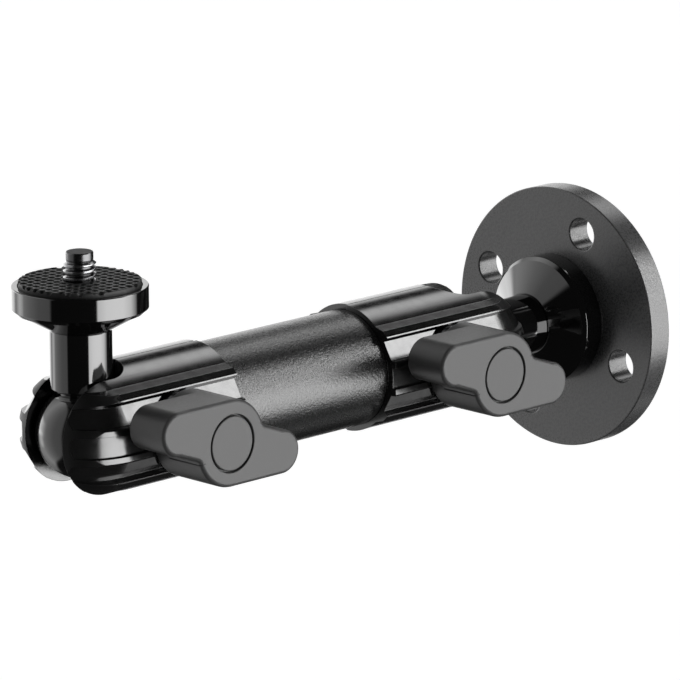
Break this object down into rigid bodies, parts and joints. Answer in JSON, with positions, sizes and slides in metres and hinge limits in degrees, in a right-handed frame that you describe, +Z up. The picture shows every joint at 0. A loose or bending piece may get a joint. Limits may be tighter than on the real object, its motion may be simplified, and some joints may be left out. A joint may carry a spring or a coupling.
{
  "type": "camera wall bracket",
  "caption": "Round wall plate, short arm with a ball joint and clamp knob at each end, and a round camera platform with a rubber pad and a threaded stud.",
  "frame": {"origin": "centre of the wall plate's back face, on the wall", "axes": "+Y into the wall, the arm stands out along -Y, +Z up, knobs on the +X side"},
  "size_m": [0.0538, 0.1491, 0.0621],
  "materials": {
    "plate_black": "matte black powder coat",
    "gloss_black": "polished black anodised",
    "clamp_black": "satin and gloss black coat",
    "sleeve_black": "black leather-grain coat",
    "knob_grey": "matte grey moulded",
    "steel": "bright steel",
    "dark_steel": "black oxide",
    "core_aluminium": "plain turned",
    "rubber": "moulded diamond grip"
  },
  "bodies": {
    "root": {"wall_plate": "plate_black", "wall_flange": "gloss_black", "wall_flange_screw": "dark_steel"},
    "wall_stem": {"wall_ball_stem": "gloss_black"},
    "arm": {"centre_sleeve": "sleeve_black", "arm_core": "core_aluminium", "wall_clamp_front": "clamp_black", "camera_clamp_front": "clamp_black", "wall_clamp_spring": "steel", "camera_clamp_spring": "steel"},
    "wall_jaw": {"wall_clamp_back": "clamp_black", "wall_clamp_nut": "dark_steel"},
    "camera_jaw": {"camera_clamp_back": "clamp_black", "camera_clamp_nut": "dark_steel"},
    "wall_knob_group": {"wall_knob": "knob_grey", "wall_knob_cap": "knob_grey", "wall_knob_stud": "dark_steel", "wall_knob_washer": "dark_steel"},
    "camera_knob_group": {"camera_knob": "knob_grey", "camera_knob_cap": "knob_grey", "camera_knob_stud": "dark_steel", "camera_knob_washer": "dark_steel"},
    "camera_stem": {"camera_ball_stem": "gloss_black"},
    "camera_head": {"camera_platform": "gloss_black", "rubber_pad": "rubber", "camera_screw": "steel"}
  },
  "joints": [
    {"name": "wall_roll", "type": "hinge", "parent": "root", "child": "wall_stem", "pos_m": [0, -0.0341, 0], "axis": [0, 1, 0], "continuous": true},
    {"name": "wall_swing", "type": "hinge", "parent": "wall_stem", "child": "arm", "pos_m": [0, -0.0341, 0], "axis": [1, 0, 0], "range_deg": [-90, 90]},
    {"name": "camera_swing", "type": "hinge", "parent": "arm", "child": "camera_stem", "pos_m": [0, -0.136, 0], "axis": [1, 0, 0], "range_deg": [-8, 188]},
    {"name": "camera_spin", "type": "hinge", "parent": "camera_stem", "child": "camera_head", "pos_m": [0, -0.136, 0], "axis": [0, 0, 1], "continuous": true},
    {"name": "wall_knob_turn", "type": "hinge", "parent": "arm", "child": "wall_knob_group", "pos_m": [0, -0.0479, 0], "axis": [1, 0, 0], "range_deg": [0, 180]},
    {"name": "camera_knob_turn", "type": "hinge", "parent": "arm", "child": "camera_knob_group", "pos_m": [0, -0.1222, 0], "axis": [1, 0, 0], "range_deg": [0, 180]},
    {"name": "wall_jaw_rock", "type": "hinge", "parent": "arm", "child": "wall_jaw", "pos_m": [0, -0.0704, 0], "axis": [0, 0, 1], "range_deg": [0, 1.04]},
    {"name": "camera_jaw_rock", "type": "hinge", "parent": "arm", "child": "camera_jaw", "pos_m": [0, -0.1011, 0], "axis": [0, 0, -1], "range_deg": [0, 1.11]}
  ],
  "couplings": [
    {"joint": "wall_jaw_rock", "follows": "wall_knob_turn", "ratio": 0.005658},
    {"joint": "camera_jaw_rock", "follows": "camera_knob_turn", "ratio": 0.006034}
  ]
}
